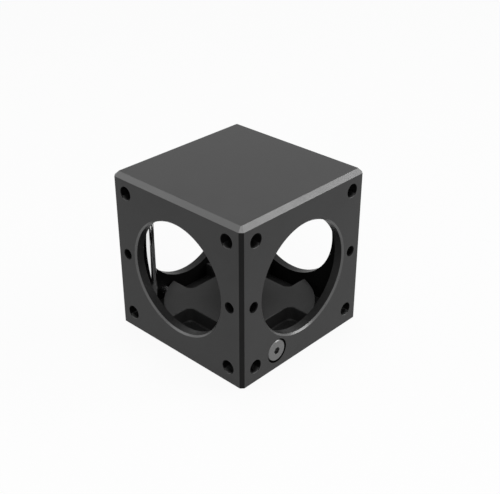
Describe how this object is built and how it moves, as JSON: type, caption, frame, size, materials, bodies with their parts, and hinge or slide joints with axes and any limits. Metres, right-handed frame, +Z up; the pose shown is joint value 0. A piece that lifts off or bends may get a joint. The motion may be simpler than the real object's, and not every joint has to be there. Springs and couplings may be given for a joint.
{
  "type": "optical cage cube",
  "caption": "Hollow black cube with a large round port in each side, a closed top, cage rod holes near the corners and a notched base plate inside.",
  "frame": {"origin": "centre of the cube, where the four port axes cross", "axes": "+Z up through the closed top, -Y out of the front port, +X out of the right port"},
  "size_m": [0.0762, 0.0762, 0.0762],
  "materials": {
    "black_anodised": "matte",
    "plate_anodised": "matte",
    "steel": "polished"
  },
  "bodies": {
    "root": {"cube_body": "black_anodised", "base_plate": "plate_anodised", "base_screw_right": "steel", "base_screw_left": "steel", "corner_rod": "steel"}
  },
  "joints": []
}
